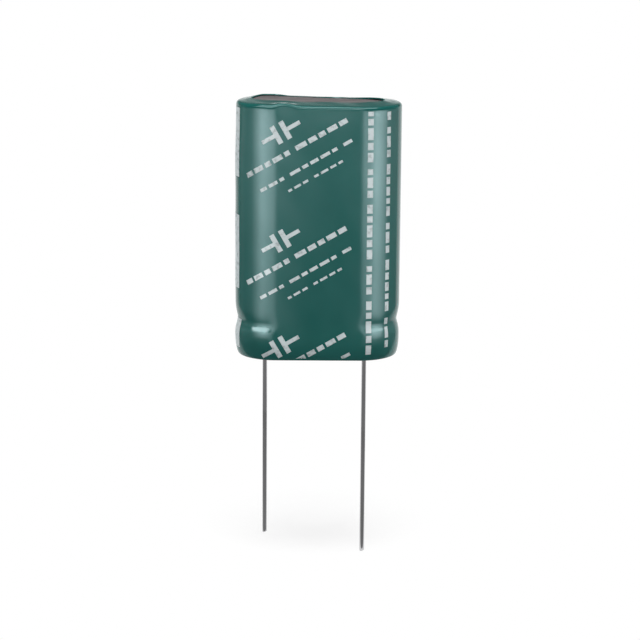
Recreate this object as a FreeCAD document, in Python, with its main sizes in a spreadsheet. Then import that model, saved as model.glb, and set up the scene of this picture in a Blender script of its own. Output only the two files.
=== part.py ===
import FreeCAD
import Part
import os
import math

import Sketcher

# A twin-cell supercapacitor module for through-hole mounting. Two sealed aluminium cells stand
# side by side, leads down, wired in series, and one heat-shrunk sleeve holds them together.
# +Z is up, X runs through both cell axes with the negative cell at -X, and -Y is the front.
# The origin is at the middle of the module, at the underside of the sleeve.

doc = FreeCAD.newDocument("supercapacitor")
sizes = doc.addObject("Spreadsheet::Sheet", "Sizes")

# Driving sizes in millimetres and degrees
DRIVING = [
    ("can_radius", "5.1"),
    ("can_height", "31.4"),
    ("can_wall", "0.35"),
    ("rim_bevel", "0.42"),
    ("rim_reach", "0.9"),
    ("bead_level", "4.5"),
    ("bead_half_width", "1.5"),
    ("bead_depth", "0.9"),
    ("bead_lead_in", "0.01"),
    ("cell_spacing", "0.12"),
    ("seat_gap", "0.01"),
    ("bung_height", "2.0"),
    ("post_radius", "0.75"),
    ("lead_radius", "0.3"),
    ("lead_pitch", "5.0"),
    ("negative_lead_length", "23.5"),
    ("positive_lead_length", "25.9"),
    ("negative_turn", "54.4"),
    ("positive_turn", "107.9"),
    ("link_bend", "0.6"),
    ("lap_length", "2.4"),
    ("link_clearance", "0.05"),
    ("solder_half_length", "1.6"),
    ("solder_half_width", "0.95"),
    ("solder_half_height", "0.45"),
    ("solder_bevel", "0.25"),
    ("plate_thickness", "0.75"),
    ("plate_margin", "0.05"),
    ("sleeve_gap", "0.02"),
    ("sleeve_wall", "0.15"),
    ("sleeve_bead_depth", "0.37"),
    ("sleeve_bead_fade", "0.42"),
    ("sleeve_bead_half_width", "1.9"),
    ("sleeve_root_round", "2.0"),
    ("shoulder_bevel", "0.42"),
    ("top_lip_reach", "1.85"),
    ("foot_lip_reach", "1.45"),
]

# Sizes and places that follow from the driving ones
DERIVED = [
    ("can_bore", "=can_radius - can_wall"),
    ("can_mouth", "=can_radius - rim_reach"),
    ("can_bead_rim", "=can_radius + bead_lead_in"),
    ("can_bead_root", "=can_radius - bead_depth"),
    ("half_pitch", "=can_radius + cell_spacing / 2"),
    ("sleeve_inner", "=can_radius + sleeve_gap"),
    ("sleeve_outer", "=sleeve_inner + sleeve_wall"),
    ("foot_round", "=1.7 * rim_bevel + sleeve_wall"),
    ("inner_shoulder", "=shoulder_bevel - (2 - sqrt(2)) * sleeve_wall"),
    ("cell_level", "=sleeve_wall + sleeve_gap"),
    ("plate_level", "=cell_level + can_height + sleeve_gap"),
    ("plate_radius", "=sleeve_inner - inner_shoulder - plate_margin"),
    ("sleeve_height", "=plate_level + plate_thickness + sleeve_gap + sleeve_wall"),
    ("sleeve_bead_level", "=cell_level + bead_level"),
    ("outer_bead_root", "=sleeve_outer + sleeve_bead_fade - sleeve_bead_depth"),
    ("inner_bead_root", "=sleeve_inner + sleeve_bead_fade - sleeve_bead_depth"),
    ("outer_bead_rim", "=outer_bead_root + sleeve_bead_depth + bead_lead_in"),
    ("inner_bead_rim", "=inner_bead_root + sleeve_bead_depth + bead_lead_in"),
    ("bung_level", "=can_wall + seat_gap"),
    ("bung_seat_height", "=bung_height + 2 * seat_gap"),
    ("wire_top", "=cell_level + bung_level"),
    ("negative_link_x", "=-half_pitch + lead_pitch / 2 * cos(negative_turn)"),
    ("negative_link_y", "=lead_pitch / 2 * sin(negative_turn)"),
    ("negative_lead_x", "=-half_pitch - lead_pitch / 2 * cos(negative_turn)"),
    ("negative_lead_y", "=-lead_pitch / 2 * sin(negative_turn)"),
    ("positive_link_x", "=half_pitch + lead_pitch / 2 * cos(positive_turn)"),
    ("positive_link_y", "=lead_pitch / 2 * sin(positive_turn)"),
    ("positive_lead_x", "=half_pitch - lead_pitch / 2 * cos(positive_turn)"),
    ("positive_lead_y", "=-lead_pitch / 2 * sin(positive_turn)"),
    ("link_across", "=positive_link_x - negative_link_x"),
    ("link_along", "=positive_link_y - negative_link_y"),
    ("link_span", "=sqrt(link_across * link_across + link_along * link_along)"),
    ("link_heading", "=atan(link_along / link_across) - asin((2 * lead_radius + seat_gap) / link_span)"),
    ("link_run", "=(link_span + lap_length) / 2"),
    ("link_drop", "=solder_half_height + link_clearance - cell_level"),
]

for row, (alias, text) in enumerate(DRIVING + DERIVED, start=1):
    sizes.set("A%d" % row, alias)
    sizes.set("B%d" % row, text)
    sizes.setAlias("B%d" % row, alias)
doc.recompute()


def value(text):
    """The number that a size expression stands for now."""
    return float(FreeCAD.Units.Quantity(sizes.evalExpression(text)).Value)


def bind(item, bound):
    """Tie properties of an object to size expressions."""
    for path, text in bound.items():
        item.setExpression(path, text)


def place(item, x="0", y="0", z="0", turn="0"):
    """Place an object by size expressions, turned about a vertical axis."""
    item.Placement = FreeCAD.Placement(FreeCAD.Vector(), FreeCAD.Rotation(FreeCAD.Vector(0, 0, 1), 1))
    bind(item, {
        "Placement.Base.x": x,
        "Placement.Base.y": y,
        "Placement.Base.z": z,
        "Placement.Rotation.Angle": turn,
    })


def new_body(name):
    body = doc.addObject("PartDesign::Body", name)
    body.Label = name
    return body


def new_sketch(body, name, role, offset=None):
    """A sketch on one of the body's own origin planes, moved off it by bound offsets."""
    sketch = body.newObject("Sketcher::SketchObject", name)
    plane = next(item for item in body.Origin.OriginFeatures if item.Role == role)
    sketch.AttachmentSupport = [(plane, "")]
    sketch.MapMode = "FlatFace"
    bind(sketch, {"AttachmentOffset.Base." + axis: text for axis, text in (offset or {}).items()})
    return sketch


def drive(sketch, name, text, *rule):
    """Add a dimension to a sketch and tie it to a size expression."""
    index = sketch.addConstraint(Sketcher.Constraint(*rule, value(text)))
    sketch.renameConstraint(index, name)
    sketch.setExpression("Constraints." + name, text)


def add_cylinder(body, name, radius, level, height):
    """An upright cylinder on the body's axis."""
    cylinder = body.newObject("PartDesign::AdditiveCylinder", name)
    bind(cylinder, {"Radius": radius, "Height": height, "Placement.Base.z": level})
    return cylinder


def add_stadium(body, name, radius, level, height):
    """An upright prism with a round end about each cell axis and flat sides between them."""
    sketch = new_sketch(body, name + "_outline", "XY_Plane", {"z": level})
    reach = value("Sizes.half_pitch")
    size = value(radius)
    right = FreeCAD.Vector(reach, 0, 0)
    left = FreeCAD.Vector(-reach, 0, 0)
    up = FreeCAD.Vector(0, 0, 1)
    half = math.pi / 2
    sketch.addGeometry(Part.ArcOfCircle(Part.Circle(right, up, size), -half, half))
    sketch.addGeometry(Part.ArcOfCircle(Part.Circle(left, up, size), half, 3 * half))
    sketch.addGeometry(Part.LineSegment(FreeCAD.Vector(reach, size, 0), FreeCAD.Vector(-reach, size, 0)))
    sketch.addGeometry(Part.LineSegment(FreeCAD.Vector(-reach, -size, 0), FreeCAD.Vector(reach, -size, 0)))
    for first, first_end, second, second_end in ((0, 2, 2, 1), (2, 2, 1, 1), (1, 2, 3, 1), (3, 2, 0, 1)):
        sketch.addConstraint(Sketcher.Constraint("Tangent", first, first_end, second, second_end))
    sketch.addConstraint(Sketcher.Constraint("PointOnObject", 0, 3, -1))
    sketch.addConstraint(Sketcher.Constraint("PointOnObject", 1, 3, -1))
    drive(sketch, "right_axis", "Sizes.half_pitch", "DistanceX", -1, 1, 0, 3)
    drive(sketch, "left_axis", "Sizes.half_pitch", "DistanceX", 1, 3, -1, 1)
    drive(sketch, "end_radius", radius, "Radius", 0)
    pad = body.newObject("PartDesign::Pad", name)
    pad.Profile = sketch
    bind(pad, {"Length": height})
    return pad


def ease_end(body, name, base, side, kind, size):
    """Round or bevel the edge of a form's flat end: side 1 is its top and side -1 its underside."""
    doc.recompute()
    ends = [face for face in base.Shape.Faces if face.normalAt(0, 0).z * side > 0.999]
    edges = [edge for face in ends for edge in face.Edges]
    names = ["Edge%d" % number for number, edge in enumerate(base.Shape.Edges, start=1)
             if any(edge.isSame(other) for other in edges)]
    eased = body.newObject("PartDesign::" + kind, name)
    eased.Base = (base, names)
    bind(eased, {"Radius" if kind == "Fillet" else "Size": size})
    return eased


def turn_groove(body, name, sketch, sweep):
    """Cut a profile out of the body, turned about the sketch's own upright axis."""
    groove = body.newObject("PartDesign::Groove", name)
    groove.Profile = sketch
    groove.ReferenceAxis = (sketch, ["V_Axis"])
    groove.Angle = sweep
    groove.Midplane = True
    return groove


def cut_vee(body, name, rim, root, level, half, axis="0", sweep=360):
    """Turn a bead of two straight slopes into a form.

    The rim and the root are radii from an upright axis that stands at x = axis.
    """
    sketch = new_sketch(body, name + "_profile", "XZ_Plane", {"x": axis})
    edge, floor, middle, reach = value(rim), value(root), value(level), value(half)
    corners = [FreeCAD.Vector(edge, middle + reach, 0), FreeCAD.Vector(floor, middle, 0),
               FreeCAD.Vector(edge, middle - reach, 0)]
    for start, end in zip(corners, corners[1:] + corners[:1]):
        sketch.addGeometry(Part.LineSegment(start, end))
    for first, second in ((0, 1), (1, 2), (2, 0)):
        sketch.addConstraint(Sketcher.Constraint("Coincident", first, 2, second, 1))
    sketch.addConstraint(Sketcher.Constraint("Vertical", 2))
    drive(sketch, "rim_radius", rim, "DistanceX", -1, 1, 0, 1)
    drive(sketch, "root_radius", root, "DistanceX", -1, 1, 0, 2)
    drive(sketch, "root_level", level, "DistanceY", -1, 1, 0, 2)
    drive(sketch, "upper_half", half, "DistanceY", 0, 2, 0, 1)
    drive(sketch, "lower_half", half, "DistanceY", 1, 2, 1, 1)
    return turn_groove(body, name, sketch, sweep)


def cut_hollow(body, name, rim, root, root_round, level, half, axis, sweep):
    """Turn a bead with a soft section into a form: a hollow root runs out into two rounded shoulders."""
    sketch = new_sketch(body, name + "_profile", "XZ_Plane", {"x": axis})
    edge, floor, inner = value(rim), value(root), value(root_round)
    middle, reach = value(level), value(half)
    depth = edge - floor
    span = (depth * depth + reach * reach) / (2 * depth)
    outer = span - inner
    slope = math.asin(reach / span)
    up = FreeCAD.Vector(0, 0, 1)
    hollow = Part.Circle(FreeCAD.Vector(floor + inner, middle, 0), up, inner)
    upper = Part.Circle(FreeCAD.Vector(edge - outer, middle + reach, 0), up, outer)
    lower = Part.Circle(FreeCAD.Vector(edge - outer, middle - reach, 0), up, outer)
    sketch.addGeometry(Part.ArcOfCircle(hollow, math.pi - slope, math.pi + slope))
    sketch.addGeometry(Part.ArcOfCircle(upper, -slope, 0))
    sketch.addGeometry(Part.ArcOfCircle(lower, 0, slope))
    sketch.addGeometry(Part.LineSegment(
        FreeCAD.Vector(edge, middle + reach, 0), FreeCAD.Vector(edge, middle - reach, 0)))
    for rule in ((0, 1, 1, 1), (0, 2, 2, 2), (1, 2, 3, 1), (2, 1, 3, 2)):
        sketch.addConstraint(Sketcher.Constraint("Tangent", *rule))
    sketch.addConstraint(Sketcher.Constraint("Vertical", 3))
    drive(sketch, "rim_radius", rim, "DistanceX", -1, 1, 3, 1)
    drive(sketch, "root_centre", root + " + " + root_round, "DistanceX", -1, 1, 0, 3)
    drive(sketch, "root_level", level, "DistanceY", -1, 1, 0, 3)
    drive(sketch, "root_round", root_round, "Radius", 0)
    drive(sketch, "upper_half", half, "DistanceY", 0, 3, 3, 1)
    drive(sketch, "lower_half", half, "DistanceY", 3, 2, 0, 3)
    return turn_groove(body, name, sketch, sweep)


def primitive(kind, name, bound):
    item = doc.addObject("Part::" + kind, name)
    bind(item, bound)
    return item


def cut(name, base, tool):
    item = doc.addObject("Part::Cut", name)
    item.Base = base
    item.Tool = tool
    item.Label = name
    return item


def fuse(name, items):
    item = doc.addObject("Part::MultiFuse", name)
    item.Shapes = items
    item.Label = name
    return item


# Can: a sealed aluminium cell in its own thin film, beaded near the foot and curled in under the bung
can_form = new_body("can_form")
blank = add_cylinder(can_form, "can_blank", "Sizes.can_radius", "0", "Sizes.can_height")
ease_end(can_form, "can_rim", blank, -1, "Chamfer", "Sizes.rim_bevel")
cut_vee(can_form, "can_bead", "Sizes.can_bead_rim", "Sizes.can_bead_root",
        "Sizes.bead_level", "Sizes.bead_half_width")
can_seat = new_body("can_seat")
add_cylinder(can_seat, "bung_seat", "Sizes.can_bore", "Sizes.can_wall", "Sizes.bung_seat_height")
add_cylinder(can_seat, "can_mouth", "Sizes.can_mouth", "-Sizes.can_wall", "3 * Sizes.can_wall")

# Bung: a rubber plug held in the can's foot by the curled rim and bored for the two lead posts
bung_form = primitive("Cylinder", "bung_form", {
    "Radius": "Sizes.can_bore - Sizes.seat_gap",
    "Height": "Sizes.bung_height",
    "Placement.Base.z": "Sizes.bung_level",
})
bores = []
for name, side in (("bung_bore_lead", "-"), ("bung_bore_link", "")):
    bores.append(primitive("Cylinder", name, {
        "Radius": "Sizes.post_radius + Sizes.seat_gap",
        "Height": "Sizes.can_height",
        "Placement.Base.x": side + "Sizes.lead_pitch / 2",
    }))
bung_bores = fuse("bung_bores", bores)


def add_post(body, name, level):
    """The aluminium post in the bung that the wire is welded to."""
    return add_cylinder(body, name, "Sizes.post_radius", level, "Sizes.bung_height")


def straight_lead(name, length, x, y):
    """A tinned wire from its post straight down to its cut tip."""
    body = new_body(name)
    add_cylinder(body, name + "_wire", "Sizes.lead_radius", "-" + length, length + " + Sizes.wire_top")
    add_post(body, name + "_post", "Sizes.wire_top")
    place(body, x, y)
    return body


def link_lead(name, x, y, turn):
    """A wire cut short under its post and bent over towards the other cell."""
    body = new_body(name)
    route = new_sketch(body, name + "_route", "XZ_Plane")
    start, drop = value("Sizes.wire_top"), value("Sizes.link_drop")
    bend, run = value("Sizes.link_bend"), value("Sizes.link_run")
    points = [FreeCAD.Vector(0, start, 0), FreeCAD.Vector(0, bend - drop, 0),
              FreeCAD.Vector(bend, -drop, 0), FreeCAD.Vector(run, -drop, 0)]
    for first, second in zip(points, points[1:]):
        route.addGeometry(Part.LineSegment(first, second))
    for rule in (
        ("Coincident", 0, 2, 1, 1), ("Coincident", 1, 2, 2, 1),
        ("Vertical", 0), ("Horizontal", 2), ("PointOnObject", 0, 1, -2),
    ):
        route.addConstraint(Sketcher.Constraint(*rule))
    drive(route, "start_level", "Sizes.wire_top", "DistanceY", -1, 1, 0, 1)
    drive(route, "bend_height", "Sizes.link_bend", "DistanceY", 1, 2, 1, 1)
    drive(route, "bend_reach", "Sizes.link_bend", "DistanceX", 1, 1, 1, 2)
    drive(route, "run_drop", "Sizes.link_drop", "DistanceY", 2, 2, -1, 1)
    drive(route, "run_length", "Sizes.link_run", "DistanceX", -1, 1, 2, 2)
    section = new_sketch(body, name + "_section", "XY_Plane", {"z": "Sizes.wire_top"})
    section.addGeometry(Part.Circle(FreeCAD.Vector(), FreeCAD.Vector(0, 0, 1), value("Sizes.lead_radius")))
    section.addConstraint(Sketcher.Constraint("Coincident", 0, 3, -1, 1))
    drive(section, "wire_radius", "Sizes.lead_radius", "Radius", 0)
    doc.recompute()
    pipe = body.newObject("PartDesign::AdditivePipe", name + "_wire")
    pipe.Profile = section
    pipe.Spine = (route, ["Edge1", "Edge2", "Edge3"])
    pipe.Transition = "Right corner"
    add_post(body, name + "_post", "Sizes.wire_top")
    place(body, x, y, "0", turn)
    return body


# The two cells, each with its lead and its link wire; the leads set how far each cell is turned
pieces = []
CELLS = [
    ("negative", "-", "Sizes.link_heading"),
    ("positive", "", "180 deg + Sizes.link_heading"),
]
for cell, side, heading in CELLS:
    for piece in (cut(cell + "_can", can_form, can_seat), cut(cell + "_bung", bung_form, bung_bores)):
        place(piece, side + "Sizes.half_pitch", "0", "Sizes.cell_level", "Sizes.%s_turn" % cell)
        pieces.append(piece)
    pieces.append(straight_lead(
        cell + "_lead", "Sizes.%s_lead_length" % cell, "Sizes.%s_lead_x" % cell, "Sizes.%s_lead_y" % cell))
    pieces.append(link_lead(
        cell + "_link", "Sizes.%s_link_x" % cell, "Sizes.%s_link_y" % cell, heading))

# Solder: one lump round the lapped link wires
solder_form = new_body("solder_form")
lump = solder_form.newObject("PartDesign::AdditiveBox", "solder_lump")
bind(lump, {
    "Length": "2 * Sizes.solder_half_length",
    "Width": "2 * Sizes.solder_half_width",
    "Height": "2 * Sizes.solder_half_height",
    "Placement.Base.x": "-Sizes.solder_half_length",
    "Placement.Base.y": "-Sizes.solder_half_width",
    "Placement.Base.z": "-Sizes.solder_half_height",
})
doc.recompute()
eased = solder_form.newObject("PartDesign::Chamfer", "solder_eased")
eased.Base = (lump, ["Edge%d" % number for number in range(1, len(lump.Shape.Edges) + 1)])
bind(eased, {"Size": "Sizes.solder_bevel"})
place(solder_form, "(Sizes.negative_link_x + Sizes.positive_link_x) / 2",
      "(Sizes.negative_link_y + Sizes.positive_link_y) / 2", "-Sizes.link_drop", "Sizes.link_heading")
links = fuse("link_wires", [doc.negative_link, doc.positive_link])
pieces.append(cut("solder_joint", solder_form, links))

# Top plate: a fibre board that lies over both cells and is held by the sleeve's lip
top_plate = new_body("top_plate")
add_stadium(top_plate, "plate", "Sizes.plate_radius", "0", "Sizes.plate_thickness")
place(top_plate, z="Sizes.plate_level")
pieces.append(top_plate)


def both_ends(body, bead):
    """Repeat a bead on the other round end."""
    doc.recompute()
    pair = body.newObject("PartDesign::Mirrored", bead.Name + "s")
    pair.Originals = [bead]
    pair.MirrorPlane = (next(item for item in body.Origin.OriginFeatures if item.Role == "YZ_Plane"), [""])
    body.Tip = pair


# Sleeve: one heat-shrunk film round both cells, curled in over the plate and under the cells.
# It sinks into each bead on the round ends and fades out to the straight sides, because the
# hollow is turned about an axis that stands inside the cell's own.
BEAD_AXIS = "Sizes.half_pitch - Sizes.sleeve_bead_fade"

sleeve_form = new_body("sleeve_form")
blank = add_stadium(sleeve_form, "sleeve_blank", "Sizes.sleeve_outer", "0", "Sizes.sleeve_height")
footed = ease_end(sleeve_form, "sleeve_foot", blank, -1, "Fillet", "Sizes.foot_round")
ease_end(sleeve_form, "sleeve_shoulder", footed, 1, "Chamfer", "Sizes.shoulder_bevel")
both_ends(sleeve_form, cut_hollow(
    sleeve_form, "sleeve_bead", "Sizes.outer_bead_rim", "Sizes.outer_bead_root", "Sizes.sleeve_root_round",
    "Sizes.sleeve_bead_level", "Sizes.sleeve_bead_half_width", BEAD_AXIS, 180))

sleeve_hollow = new_body("sleeve_hollow")
blank = add_stadium(sleeve_hollow, "hollow_blank", "Sizes.sleeve_inner", "Sizes.sleeve_wall",
                    "Sizes.sleeve_height - 2 * Sizes.sleeve_wall")
footed = ease_end(sleeve_hollow, "hollow_foot", blank, -1, "Chamfer", "Sizes.rim_bevel")
ease_end(sleeve_hollow, "hollow_shoulder", footed, 1, "Chamfer", "Sizes.inner_shoulder")
both_ends(sleeve_hollow, cut_vee(
    sleeve_hollow, "hollow_bead", "Sizes.inner_bead_rim", "Sizes.inner_bead_root",
    "Sizes.sleeve_bead_level", "Sizes.bead_half_width", BEAD_AXIS, 180))
add_stadium(sleeve_hollow, "foot_mouth", "Sizes.sleeve_outer - Sizes.foot_lip_reach",
            "-Sizes.sleeve_wall", "3 * Sizes.sleeve_wall")
add_stadium(sleeve_hollow, "top_mouth", "Sizes.sleeve_outer - Sizes.top_lip_reach",
            "Sizes.sleeve_height - 2 * Sizes.sleeve_wall", "3 * Sizes.sleeve_wall")
pieces.append(cut("outer_sleeve", sleeve_form, sleeve_hollow))

# Everything is checked before any file is written
doc.recompute()
for item in doc.Objects:
    if "Invalid" in item.State or "Error" in item.State:
        raise RuntimeError("%s did not build: %s" % (item.Name, item.State))
for body in doc.findObjects("PartDesign::Body"):
    steps = [item for item in body.Group if item.isDerivedFrom("PartDesign::Feature")]
    for before, after in zip(steps, steps[1:]):
        if after.TypeId == "PartDesign::Groove" and after.Shape.Volume >= before.Shape.Volume:
            raise RuntimeError("%s cut nothing" % after.Name)
for piece in pieces:
    if piece.Shape.isNull() or not piece.Shape.isValid() or len(piece.Shape.Solids) != 1:
        raise RuntimeError("%s is not one sound solid" % piece.Label)

os.makedirs("parts", exist_ok=True)
for piece in pieces:
    piece.Shape.exportStep("parts/%s.step" % piece.Label)
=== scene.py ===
import math

import bpy
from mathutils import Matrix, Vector


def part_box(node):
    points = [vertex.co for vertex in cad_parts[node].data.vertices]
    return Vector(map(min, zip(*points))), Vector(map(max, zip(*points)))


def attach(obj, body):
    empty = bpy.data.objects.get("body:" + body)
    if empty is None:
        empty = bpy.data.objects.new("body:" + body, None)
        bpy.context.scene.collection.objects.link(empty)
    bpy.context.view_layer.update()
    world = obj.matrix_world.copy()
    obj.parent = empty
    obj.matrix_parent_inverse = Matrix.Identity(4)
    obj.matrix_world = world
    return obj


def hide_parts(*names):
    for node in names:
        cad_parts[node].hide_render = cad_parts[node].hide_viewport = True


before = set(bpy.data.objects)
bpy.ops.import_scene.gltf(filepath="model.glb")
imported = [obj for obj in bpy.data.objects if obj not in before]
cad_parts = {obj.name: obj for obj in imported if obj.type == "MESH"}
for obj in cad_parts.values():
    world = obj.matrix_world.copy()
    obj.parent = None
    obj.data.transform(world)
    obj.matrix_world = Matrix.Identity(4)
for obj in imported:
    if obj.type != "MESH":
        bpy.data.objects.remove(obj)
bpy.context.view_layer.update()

# Cans: two sealed aluminium cells, drawn from sheet. A bead rolled in near the foot grips the bung,
# and the rim is curled in under it. They stand side by side, and only their feet can be seen.
MM = 0.001  # sizes are in mm up to the floor, and the scene is in metres
CAN_SIDES = 96
CAN_PROFILE = [
    (0.4, 31.57), (4.5, 31.57), (4.8, 31.51), (4.96, 31.35), (5.03, 31.15), (5.05, 30.95),
    (5.05, 6.3), (5.0, 6.0), (4.85, 5.55), (4.5, 5.1), (4.27, 4.85), (4.2, 4.67), (4.27, 4.49),
    (4.5, 4.24), (4.85, 3.8), (5.0, 3.35), (5.05, 3.05),
    (5.04, 2.2), (5.0, 1.6), (4.9, 1.1), (4.75, 0.73), (4.55, 0.45), (4.38, 0.3), (4.26, 0.27),
    (4.18, 0.36), (4.2, 0.47), (4.3, 0.52), (4.62, 0.56), (4.63, 2.54), (0.4, 2.54),
]
SHARP_ANGLE = math.radians(40)
NOISE_SPAN = (0.3, 0.7)


def middle(node):
    """The upright axis of a CAD node: the middle of its box in plan."""
    low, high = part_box(node)
    return (low.x + high.x) / 2, (low.y + high.y) / 2


def turned(name, axis, profile, sides, closed=True):
    """Extrude a circle ring by ring along a profile of (radius, level) in mm."""
    bpy.ops.object.select_all(action="DESELECT")
    radius, level = profile[0]
    bpy.ops.mesh.primitive_circle_add(
        vertices=sides, radius=radius * MM, location=(axis[0], axis[1], level * MM),
        rotation=(0, 0, math.pi / sides))
    piece = bpy.context.object
    piece.name = name
    piece.data.name = name
    bpy.ops.object.mode_set(mode="EDIT")
    bpy.ops.mesh.select_all(action="SELECT")
    for next_radius, next_level in profile[1:]:
        rise = (next_level - level) * MM
        bpy.ops.mesh.extrude_region_move(TRANSFORM_OT_translate={"value": (0, 0, rise)})
        growth = next_radius / radius
        bpy.ops.transform.resize(
            value=(growth, growth, 1), center_override=(axis[0], axis[1], next_level * MM))
        radius, level = next_radius, next_level
    bpy.ops.mesh.select_all(action="SELECT")
    if closed:
        bpy.ops.mesh.fill_holes(sides=0)
    bpy.ops.mesh.normals_make_consistent(inside=False)
    bpy.ops.object.mode_set(mode="OBJECT")
    bpy.ops.object.transform_apply(location=True, rotation=True, scale=True)
    bpy.ops.object.shade_smooth_by_angle(angle=SHARP_ANGLE)
    return piece


def new_finish(name):
    """A node material with its tree and its surface shader."""
    finish = bpy.data.materials.new(name)
    finish.use_nodes = True
    return finish, finish.node_tree, finish.node_tree.nodes["Principled BSDF"]


def speckle(tree, scale, stretch=(1, 1, 1), detail=4):
    """A noise pattern on the piece's own coordinates, drawn out along an axis."""
    place = tree.nodes.new("ShaderNodeTexCoord")
    mapping = tree.nodes.new("ShaderNodeMapping")
    mapping.inputs["Scale"].default_value = stretch
    noise = tree.nodes.new("ShaderNodeTexNoise")
    noise.inputs["Scale"].default_value = scale
    noise.inputs["Detail"].default_value = detail
    tree.links.new(place.outputs["Object"], mapping.inputs["Vector"])
    tree.links.new(mapping.outputs["Vector"], noise.inputs["Vector"])
    return noise.outputs["Fac"]


def graded(tree, value, start, end, first, last, course="LINEAR"):
    """A number that runs from first to last while a value runs from start to end."""
    grade = tree.nodes.new("ShaderNodeMapRange")
    grade.interpolation_type = course
    limits = {"From Min": start, "From Max": end, "To Min": first, "To Max": last}
    for socket, number in limits.items():
        grade.inputs[socket].default_value = number
    tree.links.new(value, grade.inputs["Value"])
    return grade.outputs["Result"]


def tint(tree, pattern, shader, dark, light, span=NOISE_SPAN):
    """Vary the colour of a surface between two shades by a pattern."""
    ramp = tree.nodes.new("ShaderNodeValToRGB")
    stops = ramp.color_ramp.elements
    stops[0].position, stops[1].position = span
    stops[0].color = (*dark, 1)
    stops[1].color = (*light, 1)
    tree.links.new(pattern, ramp.inputs["Fac"])
    tree.links.new(ramp.outputs["Color"], shader.inputs["Base Color"])


def gloss(tree, pattern, shader, smooth, rough):
    """Vary the roughness of a surface by a pattern."""
    roughness = graded(tree, pattern, *NOISE_SPAN, smooth, rough)
    tree.links.new(roughness, shader.inputs["Roughness"])


def relief(tree, pattern, shader, height, strength):
    """Raise a pattern a little, by height in mm."""
    bump = tree.nodes.new("ShaderNodeBump")
    bump.inputs["Distance"].default_value = height * MM
    bump.inputs["Strength"].default_value = strength
    tree.links.new(pattern, bump.inputs["Height"])
    tree.links.new(bump.outputs["Normal"], shader.inputs["Normal"])


def dress(piece, finish, slot, *nodes):
    """Give a piece its material and its CAD body, and hide the CAD nodes that it stands for. The
    slot is not used.
    """
    piece.data.materials.clear()
    piece.data.materials.append(finish)
    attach(piece, "root")
    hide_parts(*nodes)


can_finish, tree, shader = new_finish("drawn_aluminium")
shader.inputs["Metallic"].default_value = 1
drawn_lines = speckle(tree, scale=900, stretch=(1, 1, 6))
tint(tree, speckle(tree, scale=220), shader, dark=(0.62, 0.63, 0.64), light=(0.8, 0.81, 0.82))
gloss(tree, drawn_lines, shader, smooth=0.26, rough=0.46)
relief(tree, drawn_lines, shader, height=0.02, strength=0.25)

negative_can = turned("negative_cell_can", middle("negative_can"), CAN_PROFILE, CAN_SIDES)
bpy.ops.object.duplicate()
positive_can = bpy.context.object
positive_can.name = "positive_cell_can"
bpy.ops.transform.translate(value=(middle("positive_can")[0] - middle("negative_can")[0], 0, 0))
bpy.ops.object.transform_apply(location=True)
dress(negative_can, can_finish, "can_aluminium", "negative_can")
dress(positive_can, can_finish, "can_aluminium", "positive_can")

# Bungs: black rubber plugs, moulded with a dished underside and a raised collar round each lead
# post. Each is pushed into its can before the bead is rolled, and the curled rim keeps it there.
BUNG_PROFILE = [
    (0.3, 0.62), (3.5, 0.62), (3.8, 0.59), (4.05, 0.54), (4.2, 0.53), (4.52, 0.55), (4.61, 0.62),
    (4.61, 2.45), (4.53, 2.53), (0.3, 2.53),
]
COLLAR_SIDES = 48
COLLAR_PROFILE = [
    (1.35, 0.68), (1.22, 0.56), (1.08, 0.5), (0.9, 0.48), (0.79, 0.52), (0.77, 0.68),
]
POST_RADIUS = 0.75


def post_place(node):
    """The axis of a link wire's post, which stands at the outer end of the node's box."""
    low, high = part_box(node)
    reach = POST_RADIUS * MM
    if low.x + high.x < 0:
        return low.x + reach, low.y + reach
    return high.x - reach, high.y - reach


def joined(name, *pieces):
    """Join pieces into the first one."""
    bpy.ops.object.select_all(action="DESELECT")
    for piece in pieces:
        piece.select_set(True)
    bpy.context.view_layer.objects.active = pieces[0]
    bpy.ops.object.join()
    pieces[0].name = name
    pieces[0].data.name = name
    return pieces[0]


rubber, tree, shader = new_finish("bung_rubber")
shader.inputs["Specular IOR Level"].default_value = 0.35
tint(tree, speckle(tree, scale=700), shader, dark=(0.014, 0.014, 0.015), light=(0.03, 0.03, 0.031))
gloss(tree, speckle(tree, scale=300), shader, smooth=0.5, rough=0.72)
relief(tree, speckle(tree, scale=5000), shader, height=0.02, strength=0.3)

for cell in ("negative", "positive"):
    plug = turned(cell + "_plug", middle(cell + "_bung"), BUNG_PROFILE, CAN_SIDES)
    collars = [
        turned(cell + "_lead_collar", middle(cell + "_lead"), COLLAR_PROFILE, COLLAR_SIDES),
        turned(cell + "_link_collar", post_place(cell + "_link"), COLLAR_PROFILE, COLLAR_SIDES),
    ]
    dress(joined(cell + "_rubber_bung", plug, *collars), rubber, "bung_rubber", cell + "_bung")

# Leads: tinned steel wires, each butt-welded to the aluminium post in its bung. They hang straight
# down, and each is nipped off at its tip, the negative one shorter.
WIRE_RADIUS = 0.3
WIRE_SIDES = 32
POST_TOP = 2.5
WELD_PROFILE = [
    (0.3, 0.4), (0.33, 0.45), (0.42, 0.49), (0.56, 0.51), (0.7, 0.53), (0.75, 0.57),
    (0.75, POST_TOP), (0.1, POST_TOP),
]
TIP_PROFILE = [
    (0.06, 0.07), (0.2, 0.07), (0.265, 0.1), (0.29, 0.2),
    (WIRE_RADIUS, 0.4), (WIRE_RADIUS, 8), (WIRE_RADIUS, 16),
]
NIP_TOP = 0.12
NIP_MIDDLE = 0.09
NIP_SQUEEZE = 0.8
NIP_SLANT = math.radians(14)

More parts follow.
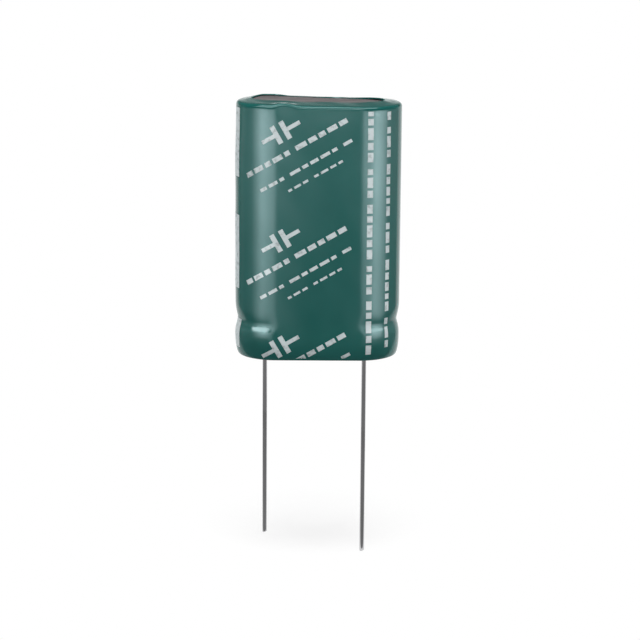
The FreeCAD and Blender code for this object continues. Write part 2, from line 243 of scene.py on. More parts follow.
tinned, tree, shader = new_finish("tinned_wire")
shader.inputs["Metallic"].default_value = 1
draw_marks = speckle(tree, scale=1500, stretch=(1, 1, 0.04))
tin_shades = speckle(tree, scale=260, stretch=(1, 1, 0.25))
tint(tree, tin_shades, shader, dark=(0.5, 0.5, 0.51), light=(0.66, 0.66, 0.67))
gloss(tree, draw_marks, shader, smooth=0.07, rough=0.12)
relief(tree, draw_marks, shader, height=0.01, strength=0.25)


def pick_points(piece, test):
    """Go into edit mode with only the points selected whose place passes a test."""
    bpy.ops.object.mode_set(mode="EDIT")
    bpy.ops.mesh.select_mode(type="VERT")
    bpy.ops.mesh.select_all(action="DESELECT")
    bpy.ops.object.mode_set(mode="OBJECT")
    for vertex in piece.data.vertices:
        vertex.select = test(vertex.co)
    bpy.ops.object.mode_set(mode="EDIT")


for lead in ("negative_lead", "positive_lead"):
    axis = middle(lead)
    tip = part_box(lead)[0].z / MM
    wire_profile = [(radius, tip + rise) for radius, rise in TIP_PROFILE]
    wire = turned(lead + "_wire", axis, wire_profile + WELD_PROFILE, WIRE_SIDES)
    pick_points(wire, lambda place: place.z < (tip + NIP_TOP) * MM)
    bpy.ops.transform.resize(value=(1, NIP_SQUEEZE, 1), center_override=(*axis, tip * MM))
    bpy.ops.transform.rotate(
        value=NIP_SLANT, orient_axis="Y", center_override=(*axis, (tip + NIP_MIDDLE) * MM))
    bpy.ops.object.mode_set(mode="OBJECT")
    dress(wire, tinned, "tinned_wire", lead)

# Links: the inner lead of each cell, bent over under the bung towards the other cell and cut off
# where the two lie side by side. They put the cells in series.
LINK_TOP = 0.55
LINK_LEVEL = -0.33
LINK_BEND = 0.7
LAP_GAP = 0.01
LAP = 2.4
BEND_STEPS = 10
BEND_ROUNDNESS = 6
POST_PROFILE = WELD_PROFILE[2:]


def bent_wire(name, points, radius):
    """A round wire along a smooth line that points steer."""
    bpy.ops.object.select_all(action="DESELECT")
    bpy.ops.curve.primitive_nurbs_path_add(location=(0, 0, 0))
    wire = bpy.context.object
    wire.name = name
    line = wire.data
    line.splines.clear()
    spline = line.splines.new("NURBS")
    spline.points.add(len(points) - 1)
    for point, place in zip(spline.points, points):
        point.co = (*place, 1)
    spline.order_u = 3
    spline.use_endpoint_u = True
    spline.resolution_u = BEND_STEPS
    line.dimensions = "3D"
    line.bevel_depth = radius
    line.bevel_resolution = BEND_ROUNDNESS
    line.use_fill_caps = True
    bpy.ops.object.convert(target="MESH")
    bpy.ops.object.shade_smooth_by_angle(angle=SHARP_ANGLE)
    return bpy.context.object


link_start = Vector(post_place("negative_link"))
link_end = Vector(post_place("positive_link"))
span = (link_end - link_start).length
lean = math.asin((2 * WIRE_RADIUS + LAP_GAP) * MM / span)
heading = math.atan2(link_end.y - link_start.y, link_end.x - link_start.x) - lean
along = Vector((math.cos(heading), math.sin(heading)))
run = (span + LAP * MM) / 2
link_ways = [("negative_link", link_start, along), ("positive_link", link_end, -along)]
for link, start, way in link_ways:
    turn = start + way * LINK_BEND * MM
    stop = start + way * run
    route = [
        (start.x, start.y, LINK_TOP * MM),
        (start.x, start.y, (LINK_LEVEL + LINK_BEND / 2) * MM),
        (start.x, start.y, LINK_LEVEL * MM),
        (turn.x, turn.y, LINK_LEVEL * MM),
        (stop.x, stop.y, LINK_LEVEL * MM),
    ]
    wire = bent_wire(link + "_wire", route, WIRE_RADIUS * MM)
    post = turned(link + "_post", start, POST_PROFILE, WIRE_SIDES)
    dress(joined(link + "_bent", wire, post), tinned, "tinned_wire", link)

# Solder: one bright lump of tin alloy, run hot round the lapped link wires. It is thickest in the
# middle, where it wets both.
SOLDER_HALF = (1.55, 0.9, 0.42)
SOLDER_CUTS = 2
SOLDER_ROUNDING = 3

solder_finish, tree, shader = new_finish("bright_solder")
shader.inputs["Metallic"].default_value = 1
tint(tree, speckle(tree, scale=500), shader, dark=(0.5, 0.5, 0.52), light=(0.68, 0.68, 0.7))
gloss(tree, speckle(tree, scale=800), shader, smooth=0.16, rough=0.34)
relief(tree, speckle(tree, scale=1200), shader, height=0.04, strength=0.3)

bpy.ops.object.select_all(action="DESELECT")
lap_middle = (link_start + link_end) / 2
bpy.ops.mesh.primitive_cube_add(
    size=2 * MM, location=(lap_middle.x, lap_middle.y, LINK_LEVEL * MM),
    rotation=(0, 0, heading), scale=SOLDER_HALF)
lump = bpy.context.object
lump.name = "solder_lump"
bpy.ops.object.mode_set(mode="EDIT")
bpy.ops.mesh.select_all(action="SELECT")
bpy.ops.mesh.subdivide(number_cuts=SOLDER_CUTS)
bpy.ops.object.mode_set(mode="OBJECT")
rounding = lump.modifiers.new("rounding", "SUBSURF")
rounding.levels = SOLDER_ROUNDING
rounding.render_levels = SOLDER_ROUNDING
bpy.ops.object.modifier_apply(modifier="rounding")
bpy.ops.object.transform_apply(location=True, rotation=True, scale=True)
bpy.ops.object.shade_smooth()
dress(lump, solder_finish, "solder", "solder_joint")

# Top plate: a thin grey-brown fibre board, punched to the outline of both cells. It lies on the
# crowns a little out of level and is held down by the sleeve's lip.
HALF_PITCH = 5.16
PLATE_TOP = 32.02
PLATE_FOOT = 31.6
PLATE_BURR = 0.03
PLATE_SIDES = 128
PLATE_CUTS = 24
PLATE_PROFILE = [
    (0.6, PLATE_FOOT), (4.62, PLATE_FOOT),
    (4.66, PLATE_FOOT + PLATE_BURR), (4.66, PLATE_TOP - PLATE_BURR),
    (4.62, PLATE_TOP), (3.2, PLATE_TOP), (1.8, PLATE_TOP), (0.6, PLATE_TOP),
]
CURL_RISE = 0.024
CURL_START = 2
CURL_END = (2.2, 4.2)
TILT_START = 20.0
TILT_END = 32.0
TOP_DROP = 0.05
TOP_TILT = 0.009


def pulled_apart(piece, cuts):
    """Move the halves of a round piece apart to the cell axes, and cut the faces between."""
    for side in (-1, 1):
        pick_points(piece, lambda place: place.x * side > 0)
        bpy.ops.transform.translate(value=(side * HALF_PITCH * MM, 0, 0))
        bpy.ops.object.mode_set(mode="OBJECT")
    bpy.ops.object.mode_set(mode="EDIT")
    bpy.ops.mesh.select_mode(type="EDGE")
    bpy.ops.mesh.select_all(action="DESELECT")
    bpy.ops.object.mode_set(mode="OBJECT")
    for edge in piece.data.edges:
        first, second = (piece.data.vertices[index].co for index in edge.vertices)
        edge.select = abs(first.x - second.x) > HALF_PITCH * MM
    bpy.ops.object.mode_set(mode="EDIT")
    bpy.ops.mesh.subdivide(number_cuts=cuts)
    bpy.ops.object.mode_set(mode="OBJECT")


def settle(place):
    """How far the top sinks at a place in mm, because the board lies out of level."""
    share = min(1.0, max(0.0, (place.z - TILT_START) / (TILT_END - TILT_START)))
    return share * (TOP_DROP + TOP_TILT * place.x)


def eased(value, low, high):
    """A soft step from 0 at low to 1 at high."""
    share = min(1.0, max(0.0, (value - low) / (high - low)))
    return share * share * (3 - 2 * share)


def curl(place):
    """How far the board's left half rises at a place in mm."""
    rise = CURL_RISE * max(0, CURL_START - place.x)
    return rise * (1 - eased(-place.x - HALF_PITCH, *CURL_END))


fibre, tree, shader = new_finish("fibre_board")
shader.inputs["Specular IOR Level"].default_value = 0.25
fibre_shades = speckle(tree, scale=900, stretch=(0.35, 1, 1))
tint(tree, fibre_shades, shader, dark=(0.088, 0.077, 0.078), light=(0.162, 0.147, 0.149))
gloss(tree, speckle(tree, scale=400), shader, smooth=0.6, rough=0.85)
relief(tree, speckle(tree, scale=2500, stretch=(0.3, 1, 1)), shader, height=0.03, strength=0.4)

plate = turned("fibre_top_plate", (0, 0), PLATE_PROFILE, PLATE_SIDES)
pulled_apart(plate, PLATE_CUTS)
for vertex in plate.data.vertices:
    vertex.co.z += (curl(vertex.co / MM) - settle(vertex.co / MM)) * MM
dress(plate, fibre, "fibre_board", "top_plate")

# Sleeve: one dark green film, heat-shrunk round both cells and the board. It curls in over the top
# and under the foot with uneven edges, sinks into the bead at each end and puckers at one shoulder.
FILM_RADIUS = 5.235
FILM_WALL = 0.14
FILM_SIDES = 128
FILM_CUTS = 36
FILM_SHARP_ANGLE = math.radians(50)
FILM_CLEARANCE = 0.01
FILM_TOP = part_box("outer_sleeve")[1].z / MM - FILM_CLEARANCE
FOOT_LEVEL = 0.03
FOOT_REACH = 0.45
FOOT_RISE = 2.3
FOOT_EDGE = [(3.85, 0.1), (4.1, 0.06), (4.35, 0.04), (4.6, FOOT_LEVEL)]
WALL_RINGS = [(2.64, 0.16, 27), (7.2, 0.8, 28)]  # lowest level, gap and number
TOP_RINGS = (29.4, 29.8, 30.15, 30.5, 30.8, 31.1, 31.35, 31.6)
SHOULDER_ROUND = 0.42
SHOULDER_LEVEL = 32.2
LIP_START = 4.7
LIP_EDGE = 3.2
LIP_STEPS = 8


def rounded(centre_radius, centre_level, reach, rise, first, last, steps):
    """Points of a rounded edge in a profile, between two angles in degrees."""
    points = []
    for step in range(steps + 1):
        angle = math.radians(first + (last - first) * step / steps)
        points.append(
            (centre_radius + reach * math.cos(angle), centre_level + rise * math.sin(angle)))
    return points


def outward(place):
    """The direction in plan from the line between the cell axes to a place."""
    over = abs(place.x) - HALF_PITCH
    if over <= 0:
        return Vector((0, math.copysign(1, place.y), 0))
    return Vector((math.copysign(over, place.x), place.y, 0)).normalized()


def wave(place, across, deep=0, up=0, start=0):
    """A sine wave over the film, by its angle in radians for each mm across, deep and up."""
    return math.sin(across * place.x + deep * place.y + up * place.z + start)


BEAD_LEVEL = 4.56
BEAD_DEPTH = 0.37
BEAD_REACH = 10
BEAD_SOFTENING = (-0.3, -0.15, 0, 0.15, 0.3)
BEAD_END = (2.6, 5)
BEAD_SAG = 0.12
SLOPE_HEIGHT = 2.1
SLOPE_CURVE = 1.7
SLOPE_SIDE = 0.27
SLOPE_RUN = (-0.3, 1.2)
LEDGE_HEIGHT = 1.12
LEDGE_GROWTH = 0.48
LEDGE_CURVE = 1.5
LEDGE_SIDE = 0.62
LEDGE_RUN = (-0.3, 1.4)
LEDGE_END = (3.4, 5)
LEDGE_FADE = (0.3, 3.6)


def crease(level, over):
    """How far the film sinks beside the bead: a long slope above it and a short ledge below."""
    end = eased(over, *BEAD_END)
    above = SLOPE_SIDE * eased(over, *SLOPE_RUN) + (1 - SLOPE_SIDE) * end
    above *= BEAD_DEPTH
    below = LEDGE_SIDE * eased(over, *LEDGE_RUN) + (1 - LEDGE_SIDE) * eased(over, *LEDGE_END)
    below *= BEAD_DEPTH
    level += BEAD_SAG * (1 - end)
    if level > BEAD_LEVEL:
        return above * max(0, 1 - (level - BEAD_LEVEL) / SLOPE_HEIGHT) ** SLOPE_CURVE
    fall = (BEAD_LEVEL - level) / (LEDGE_HEIGHT + LEDGE_GROWTH * end)
    return below * max(0, 1 - fall) ** LEDGE_CURVE - (below - above) * eased(level, *LEDGE_FADE)


LIP_LEVEL = 31
LIP_SHIFT = 0.9
LIP_CURVE = 1.3
LIP_RISE = 0.07
LIP_LEAN = 0.1
LIP_ENDS = 0.14
LIP_MIDDLE = 1
LIP_RUN = (3, 7)
LIP_WAVE = 0.05
LIP_BOB = 0.02
BACK_LEFT = (-5.5, -3.5)
BACK_RIGHT = (2.5, 5.5)
BACK_DEPTH = (1, 3)
BACK_SHIFT = 1.1
BACK_PULL = 0.45
BACK_LIFT = 0.14
BACK_LIFT_DEPTH = (0.6, 2.6)


def lip_shift(place, out, width):
    """How the lip leaves a level ring: it shifts to the back, lifts at its ends and waves."""
    lip = (LIP_START - width) / (LIP_START - LIP_EDGE)
    back = LIP_SHIFT * lip ** LIP_CURVE
    ends = LIP_ENDS * eased(abs(place.x - LIP_MIDDLE), *LIP_RUN)
    shift = Vector((0, back, lip * (LIP_RISE - LIP_LEAN * out.y + ends)))
    if place.y > 0:
        left, right = 1 - eased(place.x, *BACK_LEFT), eased(place.x, *BACK_RIGHT)
        shift.y += (1 - right) * eased(place.y, *BACK_DEPTH) * (BACK_SHIFT * lip - back)
        shift.y -= BACK_PULL * lip * right
        shift.z += BACK_LIFT * lip * left * eased(place.y, *BACK_LIFT_DEPTH)
    shift += out * LIP_WAVE * lip * wave(place, across=2.1, deep=1)
    shift.z += LIP_BOB * lip * wave(place, across=1.3, deep=2)
    return shift


PUCKERS = [(0.4, -4.3, 1.15), (0.1, -7.2, 1.3)]  # rise, middle and spread
PUCKER_HEIGHT = 1.1
PUCKER_DEPTH = (3.7, 4.7)
LOW_BACK = 0.1
LOW_BACK_LEFT = (-4.5, 2)
LOW_BACK_RIGHT = (5, 8)
LOW_BACK_RETURN = 0.5
LOW_BACK_DEPTH = (2.5, 4.5)
LOW_BACK_LEVELS = (31, 32.1)


def shoulder_rise(place, width):
    """How far the shoulder rises: two puckers in front, and a long low stretch at the back."""
    low = eased(place.x, *LOW_BACK_LEFT) * (1 - LOW_BACK_RETURN * eased(place.x, *LOW_BACK_RIGHT))
    low *= LOW_BACK * eased(place.y, *LOW_BACK_DEPTH) * eased(place.z, *LOW_BACK_LEVELS)
    if place.y >= 0:
        return -low
    near_rim = math.exp(-((place.z - SHOULDER_LEVEL) / PUCKER_HEIGHT) ** 2)
    rise = sum(size * math.exp(-((place.x - centre) / spread) ** 2)
               for size, centre, spread in PUCKERS)
    return near_rim * eased(width, *PUCKER_DEPTH) * rise


WAIST = 0.06
WAIST_START = 29
WAIST_HEIGHT = 2.6
WAIST_CURVE = 2.5
WAIST_END = (-1.5, 0.5)
LEFT_LEAN = 0.12
LEFT_LEAN_LEVELS = (25, 31.5)
LEFT_LEAN_TURN = (0.6, 0.95)
LEFT_LEAN_EDGE = 4
FOOT_WAVE = 0.03
FOOT_WAVE_TOP = 0.6
FOOT_WAVE_START = 4.4
FILM_WAVE = 0.012


def film_place(place):
    """Where the shrunk film puts a place of the plain form, all in mm."""
    out = outward(place)
    over = abs(place.x) - HALF_PITCH
    width = math.hypot(max(over, 0), place.y)
    inward = 0
    if place.z < BEAD_REACH:
        sunk = [crease(place.z + step, over) for step in BEAD_SOFTENING]
        inward += sum(sunk) / len(sunk)
    climb = min(1, max(0, (place.z - WAIST_START) / WAIST_HEIGHT))
    inward += WAIST * climb ** WAIST_CURVE * (1 - eased(over, *WAIST_END))
    if width > LEFT_LEAN_EDGE:
        turned_left = eased(-out.x, *LEFT_LEAN_TURN)
        inward += LEFT_LEAN * eased(place.z, *LEFT_LEAN_LEVELS) * turned_left
    swell = wave(place, across=0.7, up=0.9) * wave(place, across=0.5, start=1) - 1
    moved = place + out * (FILM_WAVE * swell - inward)
    moved.z += shoulder_rise(place, width)
    if place.z > LIP_LEVEL and width < LIP_START:
        moved += lip_shift(place, out, width)
    if place.z < FOOT_WAVE_TOP and width < FOOT_WAVE_START:
        foot_swell = 1 + wave(place, across=1.9, deep=1)
        moved.z += FOOT_WAVE * (FOOT_WAVE_START - width) * foot_swell
    moved.z = min(moved.z - settle(place), FILM_TOP)
    return moved


film_profile = FOOT_EDGE + rounded(
    FILM_RADIUS - FOOT_REACH, FOOT_LEVEL + FOOT_RISE, FOOT_REACH, FOOT_RISE,
    first=-90, last=-3, steps=24)
for level, gap, count in WALL_RINGS:
    film_profile += [(FILM_RADIUS, level + gap * ring) for ring in range(count)]
film_profile += [(FILM_RADIUS, level) for level in TOP_RINGS]
film_profile += rounded(
    FILM_RADIUS - SHOULDER_ROUND, SHOULDER_LEVEL - SHOULDER_ROUND, SHOULDER_ROUND, SHOULDER_ROUND,
    first=0, last=74, steps=8)
for step in range(1, LIP_STEPS + 1):
    film_profile.append((LIP_START + (LIP_EDGE - LIP_START) * step / LIP_STEPS, SHOULDER_LEVEL))

film_finish, tree, shader = new_finish("green_shrink_film")
shader.inputs["Specular IOR Level"].default_value = 0.5
shader.inputs["Specular Tint"].default_value = (0.76, 0.96, 1, 1)
tint(tree, speckle(tree, scale=140), shader, dark=(0.005, 0.084, 0.074), light=(0.008, 0.096, 0.084))
gloss(tree, speckle(tree, scale=260, stretch=(1, 1, 0.4)), shader, smooth=0.15, rough=0.19)
film_grain = speckle(tree, scale=1500, stretch=(1, 1, 0.5), detail=2)
relief(tree, film_grain, shader, height=0.02, strength=0.12)

film = turned("green_sleeve", (0, 0), film_profile, FILM_SIDES, closed=False)
pulled_apart(film, FILM_CUTS)
for vertex in film.data.vertices:
    vertex.co = film_place(vertex.co / MM) * MM
wall = film.modifiers.new("wall", "SOLIDIFY")
wall.thickness = FILM_WALL * MM
wall.offset = -1
bpy.ops.object.modifier_apply(modifier="wall")
bpy.ops.object.shade_smooth_by_angle(angle=FILM_SHARP_ANGLE)
dress(film, film_finish, "sleeve_film", "outer_sleeve")

# Print: silver ink on the film. A broken stripe marks the negative side, a capacitor sign and
# slanted rows of bars repeat up the front, and two columns of dashes run up beside them.
INK_LIFT = 0.012
INK_THICK = 0.02
INK_STEP = 0.45
INK_TOP = 31.55
INK_FOOT = 0.35
SLANT = math.radians(30)
UPRIGHT = math.radians(90)
STRIPE_MIDDLE = -13.06
STRIPE_WIDTH = 4.1
STRIPE_LEVELS = [(22.9, 31.5), (8.75, 18.1), (1.1, 4.7)]
REPEATS = 3
REPEAT_GAP = 13.54
# Rows: start, height and bar lengths, where 0 is a gap between words
ROWS = [
    ((-9.2, 23.3), 0.62, [1.0, 1.3, 0.8, 1.3, 0.7, 0.0, 1.5, 1.1, 0.9, 1.3, 1.1]),
    ((-7.2, 21.6), 0.42, [0.9, 1.2, 0.6, 0.0, 1.4, 0.8, 1.1, 1.3, 0.7, 0.0, 1.2]),
    ((-3.7, 21.65), 0.3, [0.5, 0.9, 0.7, 0.0, 0.6, 1.0, 0.8, 0.6]),
]
# Columns: middle, width, lowest level and dash lengths
COLUMNS = [
    (6.4, 0.7, 0.9, [1.2, 0.9, 1.5, 0.8, 1.1, 0.0, 0.9, 1.3, 0.7, 0.0]),
    (9.0, 0.6, 1.6, [0.9, 1.4, 0.8, 0.0, 1.2, 0.7, 1.1, 0.9, 1.3, 0.0]),
]
BAR_GAP = 0.34
WORD_GAP = 0.55
SIGN_START = (-7.0, 27.6)
# Sign: start along the slant, length and height of each part
SIGN_PARTS = [(0.0, 1.75, 0.5), (1.75, 0.62, 2.4), (3.0, 0.62, 2.4), (3.62, 1.75, 0.5)]


def ink_bar(start, along, length, height, slant):
    """Add a flat bar to the unrolled print, cut fine enough to follow the film."""
    way = Vector((math.cos(slant), math.sin(slant)))
    centre = Vector(start) + way * (along + length / 2)
    place = (centre.x * MM, 0, centre.y * MM)
    bpy.ops.mesh.primitive_plane_add(size=MM, location=place, rotation=(UPRIGHT, 0, 0))
    bpy.ops.mesh.subdivide(number_cuts=math.ceil(max(length, height) / INK_STEP))
    bpy.ops.transform.resize(value=(length, 1, height), center_override=place)
    bpy.ops.transform.rotate(value=slant, orient_axis="Y", center_override=place)


def ink_row(start, height, lengths, slant):
    """A row of bars, where a length of 0 is a gap between words."""
    along = 0
    for length in lengths:
        if length:
            ink_bar(start, along, length, height, slant)
            along += length + BAR_GAP
        else:
            along += WORD_GAP


def wrapped(flat):
    """A place of the unrolled print, X round the film and Z up it, put on the plain film."""
    sunk = max(0, 1 - (flat.z - FOOT_LEVEL) / FOOT_RISE)
    reach = FILM_RADIUS - FOOT_REACH * (1 - math.sqrt(1 - sunk ** 2)) + INK_LIFT
    turn = max(0, abs(flat.x) - HALF_PITCH) / FILM_RADIUS
    across = min(abs(flat.x), HALF_PITCH) + reach * math.sin(turn)
    return Vector((math.copysign(across, flat.x), -reach * math.cos(turn), flat.z))


ink, tree, shader = new_finish("silver_ink")
shader.inputs["Metallic"].default_value = 0.1
wear = speckle(tree, scale=1900, detail=6)
tint(tree, wear, shader, dark=(0.27, 0.315, 0.32), light=(0.455, 0.515, 0.525), span=(0.34, 0.48))
gloss(tree, speckle(tree, scale=600), shader, smooth=0.36, rough=0.52)

bpy.ops.object.select_all(action="DESELECT")
bpy.ops.mesh.primitive_plane_add(size=MM, location=(0, 0, 0))
print_marks = bpy.context.object
print_marks.name = "silver_print"
print_marks.data.name = "silver_print"
bpy.ops.object.mode_set(mode="EDIT")
bpy.ops.mesh.select_all(action="SELECT")
bpy.ops.mesh.delete(type="VERT")
for low, high in STRIPE_LEVELS:
    ink_bar((STRIPE_MIDDLE, low), 0, high - low, STRIPE_WIDTH, UPRIGHT)
for repeat in range(REPEATS):
    drop = repeat * REPEAT_GAP
    for start, height, lengths in ROWS:
        ink_row((start[0], start[1] - drop), height, lengths, SLANT)
    for along, length, height in SIGN_PARTS:
        ink_bar((SIGN_START[0], SIGN_START[1] - drop), along, length, height, SLANT)
for across, width, level, lengths in COLUMNS:
    ink_row((across, level), width, REPEATS * lengths, UPRIGHT)
bpy.ops.mesh.select_all(action="SELECT")
for level, way in ((INK_TOP, 1), (INK_FOOT, -1)):
    bpy.ops.mesh.bisect(plane_co=(0, 0, level * MM), plane_no=(0, 0, way), clear_outer=True)
    bpy.ops.mesh.select_all(action="SELECT")
bpy.ops.object.mode_set(mode="OBJECT")
for vertex in print_marks.data.vertices:
    vertex.co = film_place(wrapped(vertex.co / MM)) * MM
bpy.ops.object.mode_set(mode="EDIT")
bpy.ops.mesh.normals_make_consistent(inside=False)
bpy.ops.object.mode_set(mode="OBJECT")
layer = print_marks.modifiers.new("layer", "SOLIDIFY")
layer.thickness = INK_THICK * MM
layer.offset = -1
bpy.ops.object.modifier_apply(modifier="layer")
bpy.ops.object.shade_smooth_by_angle(angle=SHARP_ANGLE)
dress(print_marks, ink, "sleeve_film")

# Floor: a plain pale disc of paper under the longer lead's tip. It takes the part's soft shadow,
# fades into the white surround and is clear from below.
FLOOR_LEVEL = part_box("positive_lead")[0].z
FLOOR_GAP = 0.00002
FLOOR_SIDES = 96
FLOOR_RADIUS = 0.1
FLOOR_FRONT = 0.004
SHADE_MIDDLE = 0.011
SHADE_RADII = (0.004, 0.015)
SHADE_WHITE = (0.6, 1)


def combined(tree, operation, *values):
    """A sum, a product or the like of node outputs and plain numbers."""
    node = tree.nodes.new("ShaderNodeMath")
    node.operation = operation
    for socket, value in zip(node.inputs, values):
        if isinstance(value, bpy.types.NodeSocket):
            tree.links.new(value, socket)
        else:
            socket.default_value = value
    return node.outputs["Value"]


def seen_rays(tree):
    """1 for a ray that looks at a surface straight, in a reflection or through glass."""
    rays = tree.nodes.new("ShaderNodeLightPath").outputs
    bounced = combined(tree, "MAXIMUM", rays["Is Glossy Ray"], rays["Is Transmission Ray"])
    return combined(tree, "MAXIMUM", rays["Is Camera Ray"], bounced)


def one_sided(tree, front):
    """Show a surface from its front and leave it clear from its back."""
    clear = tree.nodes.new("ShaderNodeBsdfTransparent")
    side_seen = tree.nodes.new("ShaderNodeNewGeometry")
    either = tree.nodes.new("ShaderNodeMixShader")
    tree.links.new(side_seen.outputs["Backfacing"], either.inputs["Fac"])
    tree.links.new(front, either.inputs[1])
    tree.links.new(clear.outputs["BSDF"], either.inputs[2])
    return either.outputs["Shader"]


bpy.ops.object.select_all(action="DESELECT")
bpy.ops.mesh.primitive_circle_add(
    vertices=FLOOR_SIDES, radius=FLOOR_RADIUS, fill_type="NGON",
    location=(0, FLOOR_RADIUS - FLOOR_FRONT, FLOOR_LEVEL - FLOOR_GAP))
floor = bpy.context.object
floor.name = "floor"
bpy.ops.object.transform_apply(location=True)

paper, tree, shader = new_finish("white_floor")
shader.inputs["Base Color"].default_value = (0.9, 0.9, 0.9, 1)
shader.inputs["Roughness"].default_value = 0.9
shader.inputs["Specular IOR Level"].default_value = 0.1
place = tree.nodes.new("ShaderNodeTexCoord")
plan = tree.nodes.new("ShaderNodeMapping")
plan.inputs["Location"].default_value = (0, -SHADE_MIDDLE, 0)
plan.inputs["Scale"].default_value = (1, 1, 0)
distance = tree.nodes.new("ShaderNodeVectorMath")
distance.operation = "LENGTH"
white = tree.nodes.new("ShaderNodeEmission")
blend = tree.nodes.new("ShaderNodeMixShader")
tree.links.new(place.outputs["Object"], plan.inputs["Vector"])
tree.links.new(plan.outputs["Vector"], distance.inputs[0])
fade = graded(tree, distance.outputs["Value"], *SHADE_RADII, *SHADE_WHITE)
tree.links.new(combined(tree, "MULTIPLY", fade, seen_rays(tree)), blend.inputs["Fac"])
tree.links.new(shader.outputs["BSDF"], blend.inputs[1])
tree.links.new(white.outputs["Emission"], blend.inputs[2])
surface = tree.nodes["Material Output"].inputs["Surface"]
tree.links.new(one_sided(tree, blend.outputs["Shader"]), surface)
floor.data.materials.append(paper)

# Studio: a dim room, with a white backdrop low behind the part and soft lamps round it. Curved
# sheets in front show in the gloss alone: a low one lights each round end, a high one that is clear
# from above lights the bead, and a grey flag under that one keeps it out of the leads.
BACKDROP_WAY = (0.1, 0.99, 0)
BACKDROP_WIDTH = (0.3, 0.95)
BACKDROP_HEIGHT = (-0.02, 0.35)
ROOM_LEVEL = 0.14
TABLE_LEVEL = 0.1
TABLE_HEIGHT = (-0.3, -0.22)
LOW_SHEET = [(60, -13), (235, 7)]
HIGH_SHEET = [(60, 21.2), (400, 28)]
FLAG_SHEET = [(12, -0.3), (400, 3.66)]
SHEET_SIDES = 90
GLOW_LEVELS = (-0.009, 0.003)
GLOW_FULL = 8
# Sheets: name, side, form in mm, strengths low and high on it, and glow by bearing in degrees
SHEETS = [
    ("left_reflector", -1, LOW_SHEET, (6.5, 15.4), [
        (-3, 0), (0, 0.8), (4, 2.7), (9, 3.5), (18, 4.1), (28, 4.8), (38, 5.5), (45, 4.9), (57, 2.8),
        (72, 0.95), (95, 0.5), (115, 0.4), (125, 0)]),
    ("right_reflector", 1, LOW_SHEET, (7.6, 16.2), [
        (-2, 0), (2, 0.5), (6, 1.3), (12, 2.9), (28, 3.3), (46, 6.2), (64, 4.1), (84, 0.8),
        (110, 0.35), (120, 0.35), (127, 0)]),
    ("left_spot", -1, HIGH_SHEET, (16, 16), [(12, 0), (24, 7.5), (49, 7.5), (74, 7.5), (87, 0)]),
    ("right_spot", 1, HIGH_SHEET, (16, 16), [(29, 0), (38, 6.3), (59, 6.3), (80, 6.3), (89, 0)]),
    ("left_flag", -1, FLAG_SHEET, (1.1, 1.1), [(-60, 1), (150, 1)]),
    ("right_flag", 1, FLAG_SHEET, (1.1, 1.1), [(-60, 1), (150, 1)]),
]
LAMP_AIM = Vector((0, 0, 0.012))
# Lamps: name, place, size, power, whether the gloss shows it and whether it lights the surface
LAMPS = [
    ("front_sheen", (0.04, -0.3, 0.015), (0.1, 0.03), 0.02, True, False),
    ("shoulder_strip", (-0.11, -0.18, 0.2), (0.4, 0.09), 0.6, True, False),
    ("rim_strip", (0.0, -0.015, 0.17), (0.16, 0.05), 0.2, True, True),
    ("fill", (0.0, -0.2, 0.12), (0.2, 0.16), 0.4, False, True),
    ("left_edge", (-0.25, 0.12, 0.03), (0.1, 0.15), 0.5, False, True),
    ("right_edge", (0.25, 0.12, 0.03), (0.1, 0.15), 0.5, False, True),
]

world = bpy.data.worlds.new("studio")
bpy.context.scene.world = world
world.use_nodes = True
tree = world.node_tree
back = tree.nodes["Background"]
back.inputs["Color"].default_value = (1, 1, 1, 1)
way = tree.nodes.new("ShaderNodeTexCoord")
parts = tree.nodes.new("ShaderNodeSeparateXYZ")
behind = tree.nodes.new("ShaderNodeVectorMath")
behind.operation = "DOT_PRODUCT"
behind.inputs[1].default_value = BACKDROP_WAY
tree.links.new(way.outputs["Generated"], parts.inputs["Vector"])
tree.links.new(way.outputs["Generated"], behind.inputs[0])
height = parts.outputs["Z"]
backdrop = combined(
    tree, "MULTIPLY",
    graded(tree, behind.outputs["Value"], *BACKDROP_WIDTH, 0, 1, "SMOOTHSTEP"),
    graded(tree, height, *BACKDROP_HEIGHT, 1, 0, "SMOOTHSTEP"))
room = combined(
    tree, "ADD",
    graded(tree, backdrop, 0, 1, ROOM_LEVEL, 1, "SMOOTHSTEP"),
    graded(tree, height, *TABLE_HEIGHT, TABLE_LEVEL, 0, "SMOOTHSTEP"))
seen = tree.nodes.new("ShaderNodeLightPath")
level = tree.nodes.new("ShaderNodeMix")
level.inputs["B"].default_value = 1
tree.links.new(room, level.inputs["A"])
tree.links.new(seen.outputs["Is Camera Ray"], level.inputs["Factor"])
tree.links.new(level.outputs["Result"], back.inputs["Strength"])


def bearing(place, side):
    """The angle in degrees of a place round a cell's axis, from the front to its own side."""
    return math.degrees(math.atan2(side * place.x - HALF_PITCH * MM, -place.y))


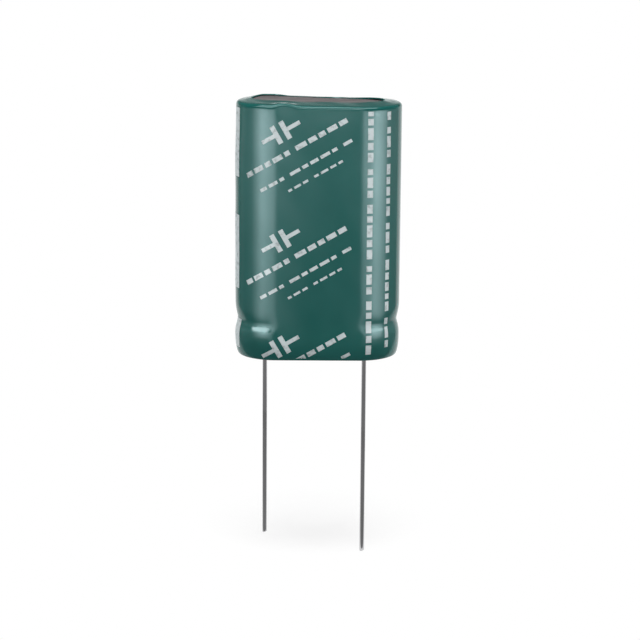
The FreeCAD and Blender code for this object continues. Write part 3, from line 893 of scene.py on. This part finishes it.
for name, side, profile, strengths, glow in SHEETS:
    first, last = glow[0][0], glow[-1][0]
    sheet = turned(name, (side * HALF_PITCH * MM, 0), profile, SHEET_SIDES, closed=False)
    pick_points(sheet, lambda place: not first < bearing(place, side) < last)
    bpy.ops.mesh.delete(type="VERT")
    bpy.ops.object.mode_set(mode="OBJECT")
    white_sheet, tree, _ = new_finish(name)
    place = tree.nodes.new("ShaderNodeTexCoord")
    parts = tree.nodes.new("ShaderNodeSeparateXYZ")
    tree.links.new(place.outputs["Object"], parts.inputs["Vector"])
    across = combined(tree, "MULTIPLY_ADD", parts.outputs["X"], side, -HALF_PITCH * MM)
    ahead = combined(tree, "MULTIPLY", parts.outputs["Y"], -1)
    angle = combined(tree, "ARCTAN2", across, ahead)
    ramp = tree.nodes.new("ShaderNodeValToRGB")
    stops = ramp.color_ramp.elements
    for index, (turn, brightness) in enumerate(glow):
        spot = (turn - first) / (last - first)
        stop = stops[index] if index < 2 else stops.new(spot)
        stop.position = spot
        grey = brightness / GLOW_FULL
        stop.color = (grey, grey, grey, 1)
    share = graded(tree, angle, math.radians(first), math.radians(last), 0, 1)
    strength = graded(tree, parts.outputs["Z"], *GLOW_LEVELS, *strengths)
    shine = tree.nodes.new("ShaderNodeEmission")
    tree.links.new(share, ramp.inputs["Fac"])
    tree.links.new(ramp.outputs["Color"], shine.inputs["Color"])
    tree.links.new(strength, shine.inputs["Strength"])
    front = shine.outputs["Emission"]
    if profile is not LOW_SHEET:
        front = one_sided(tree, front)
    tree.links.new(front, tree.nodes["Material Output"].inputs["Surface"])
    sheet.data.materials.append(white_sheet)
    sheet.visible_camera = False
    sheet.visible_diffuse = False
    sheet.visible_shadow = False

for name, place, size, power, shines, lights in LAMPS:
    light = bpy.data.lights.new(name, "AREA")
    light.shape = "RECTANGLE" if lights else "ELLIPSE"
    light.size, light.size_y = size
    light.energy = power
    box = bpy.data.objects.new(name, light)
    bpy.context.scene.collection.objects.link(box)
    box.location = place
    aim = LAMP_AIM - Vector(place)
    box.rotation_euler = aim.to_track_quat("-Z", "Y").to_euler()
    box.visible_camera = False
    box.visible_glossy = shines
    box.visible_diffuse = lights

# Camera: a long lens in front of the part and a little above it, turned so that the part stands in
# the picture as it does in the photograph.
LENS = 131.311
LENS_SENSOR = 36
LENS_NEAR = 0.01
CAMERA_PLACE = (-0.002825, -0.2891064, 0.071742)
CAMERA_TURN = (76.84165, -0.414816, -0.534025)

camera = bpy.data.cameras.new("camera")
camera.sensor_width = LENS_SENSOR
camera.lens = LENS
camera.clip_start = LENS_NEAR
viewer = bpy.data.objects.new("camera", camera)
bpy.context.scene.collection.objects.link(viewer)
viewer.location = CAMERA_PLACE
viewer.rotation_euler = [math.radians(angle) for angle in CAMERA_TURN]
bpy.context.scene.camera = viewer
bpy.context.scene.view_settings.view_transform = "Standard"
